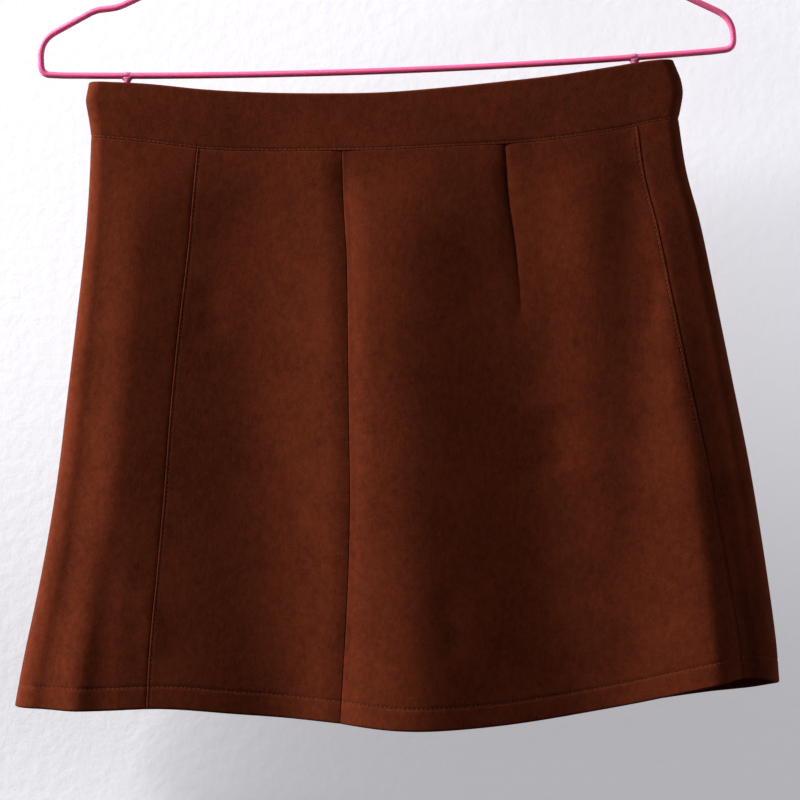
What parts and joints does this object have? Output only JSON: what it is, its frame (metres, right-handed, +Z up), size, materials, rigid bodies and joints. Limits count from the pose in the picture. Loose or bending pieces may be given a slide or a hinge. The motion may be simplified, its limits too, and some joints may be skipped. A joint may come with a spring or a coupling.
{
  "type": "suede mini skirt on a wire hanger",
  "caption": "A-line suede mini skirt with a plain waistband, gored panels and a back zip, hung by two loops on a coated wire hanger.",
  "frame": {"origin": "inside top of the hanger's hook, where a rail carries it", "axes": "+Z up, +X to the right of the shown face, -Y the way the shown face looks"},
  "size_m": [0.44, 0.0565, 0.5865],
  "materials": {
    "suede": "short brown suede nap, matte with a soft sheen",
    "thread": "brown sewing thread, a little lighter than the cloth",
    "ribbon": "brown satin ribbon",
    "coated_wire": "pink dipped coating over steel wire, semi-gloss",
    "zip_metal": "brown lacquered zip metal"
  },
  "bodies": {
    "skirt": {"hanger": "coated_wire", "waistband": "suede", "left_side_panel": "suede", "front_left_panel": "suede", "front_right_panel": "suede", "right_side_panel": "suede", "back_right_panel": "suede", "back_left_panel": "suede", "left_hanging_loop": "ribbon", "right_hanging_loop": "ribbon", "zip_slider": "zip_metal"},
    "pull_tab": {"zip_pull_tab": "zip_metal"}
  },
  "joints": [
    {"name": "pull_tab_swing", "type": "hinge", "parent": "skirt", "child": "pull_tab", "pos_m": [-0.02336, 0.01175, -0.22462], "axis": [1, 0, 0], "range_deg": [0, 130]}
  ]
}
